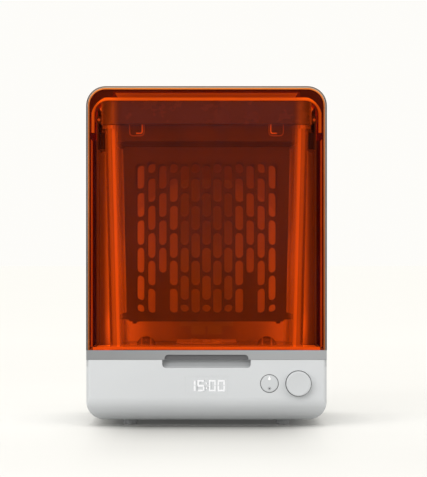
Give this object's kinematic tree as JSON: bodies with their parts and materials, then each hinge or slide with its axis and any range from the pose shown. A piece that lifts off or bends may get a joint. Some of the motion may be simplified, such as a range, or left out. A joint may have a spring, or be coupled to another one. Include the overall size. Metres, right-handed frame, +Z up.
{
  "type": "dental lab light curing unit",
  "caption": "Tabletop curing unit with a hinged amber hood over a clear wash vessel and perforated carrier, on a grey base with timer, button and dial.",
  "frame": {"origin": "centre of the bounding box's footprint, on the surface the feet stand on", "axes": "+Z up, the hood and controls face -Y, +X to the viewer's right when facing the front"},
  "size_m": [0.26, 0.3014, 0.368],
  "materials": {
    "grey_shell": "satin",
    "band_grey": "satin",
    "dark_plastic": "satin",
    "rubber": "matte",
    "steel": "satin",
    "deck_plastic": "satin",
    "diffuser": "frosted",
    "light_parts": "white solder mask and LED packages",
    "boards": "green solder mask",
    "metal_case": "satin",
    "magnets": "nickel plate",
    "brass": "satin",
    "amber": "gloss amber acrylic",
    "clear": "gloss clear plastic",
    "carrier_grey": "satin",
    "white_plastic": "satin"
  },
  "bodies": {
    "housing": {"base_shell": "grey_shell", "service_plate": "dark_plastic", "rubber_feet": "rubber", "base_screws": "steel", "chamber_deck": "deck_plastic", "vessel_pads": "rubber", "coupling_cover": "deck_plastic", "power_inlet": "dark_plastic", "inlet_pins": "brass", "switch_frame": "dark_plastic", "power_supply": "metal_case", "main_board": "boards", "control_board": "boards", "display_window": "grey_shell", "display_segments": "light_parts", "mode_switch": "dark_plastic", "encoder_body": "dark_plastic", "stir_motor": "metal_case", "motor_bracket": "metal_case", "rear_housing": "grey_shell", "chamber_back_panel": "deck_plastic", "light_window": "diffuser", "light_board": "light_parts", "led_chips": "light_parts", "column_cover": "deck_plastic", "column_board": "light_parts", "plinth_cover": "deck_plastic", "back_cover": "grey_shell", "back_cover_screws": "steel", "fan_frame": "dark_plastic", "hinge_pins": "steel", "hinge_dampers": "dark_plastic", "hood_sensor": "dark_plastic", "wash_vessel": "clear", "carrier_head": "carrier_grey", "carrier_collar": "carrier_grey", "carrier_front_panel": "carrier_grey", "carrier_back_panel": "carrier_grey", "carrier_tray": "carrier_grey", "carrier_hooks": "white_plastic", "tray_feet": "rubber", "platform_plate": "metal_case", "clip_pins": "steel"},
    "hood": {"hood_shell": "amber", "hood_band": "band_grey", "hood_grip": "dark_plastic", "hood_brace": "diffuser", "hood_magnet": "magnets"},
    "dial_press": {"encoder_sleeve": "brass"},
    "dial": {"dial_knob": "grey_shell", "dial_shaft": "steel"},
    "button": {"mode_button": "grey_shell"},
    "rocker": {"power_rocker": "dark_plastic"},
    "left_lever": {"left_clip": "carrier_grey"},
    "right_lever": {"right_clip": "carrier_grey"},
    "stirrer": {"motor_shaft": "steel", "drive_magnet": "magnets"},
    "impeller": {"impeller": "white_plastic", "impeller_magnets": "magnets"},
    "fan": {"fan_rotor": "dark_plastic"}
  },
  "joints": [
    {"name": "hood_hinge", "type": "hinge", "parent": "housing", "child": "hood", "pos_m": [0, 0.113, 0.331], "axis": [-1, 0, 0], "range_deg": [0, 80]},
    {"name": "dial_push", "type": "slide", "parent": "housing", "child": "dial_press", "axis": [0, 1, 0], "range_m": [0, 0.0008], "stiffness_N_per_m": 900, "springref_m": -0.002},
    {"name": "dial_turn", "type": "hinge", "parent": "dial_press", "child": "dial", "pos_m": [0.0994, -0.142, 0.0467], "axis": [0, -1, 0], "continuous": true},
    {"name": "button_push", "type": "slide", "parent": "housing", "child": "button", "axis": [0, 1, 0], "range_m": [0, 0.001], "stiffness_N_per_m": 700, "springref_m": -0.002},
    {"name": "rocker_tilt", "type": "hinge", "parent": "housing", "child": "rocker", "pos_m": [-0.043, 0.141, 0.043], "axis": [-1, 0, 0], "range_deg": [0, 16]},
    {"name": "left_lever_swing", "type": "hinge", "parent": "housing", "child": "left_lever", "pos_m": [-0.1182, -0.04, 0.334], "axis": [0, 1, 0], "range_deg": [0, 11], "stiffness_Nm_per_rad": 0.3, "springref_deg": -11.46},
    {"name": "right_lever_swing", "type": "hinge", "parent": "housing", "child": "right_lever", "pos_m": [0.1182, -0.04, 0.334], "axis": [0, -1, 0], "range_deg": [0, 11], "stiffness_Nm_per_rad": 0.3, "springref_deg": -11.46},
    {"name": "stirrer_spin", "type": "hinge", "parent": "housing", "child": "stirrer", "pos_m": [0, -0.04, 0.06], "axis": [0, 0, 1], "continuous": true},
    {"name": "impeller_spin", "type": "hinge", "parent": "housing", "child": "impeller", "pos_m": [0, -0.04, 0.088], "axis": [0, 0, 1], "continuous": true},
    {"name": "fan_spin", "type": "hinge", "parent": "housing", "child": "fan", "pos_m": [0, 0.14, 0.19], "axis": [0, 1, 0], "continuous": true}
  ],
  "couplings": [
    {"joint": "impeller_spin", "follows": "stirrer_spin", "ratio": 1}
  ]
}
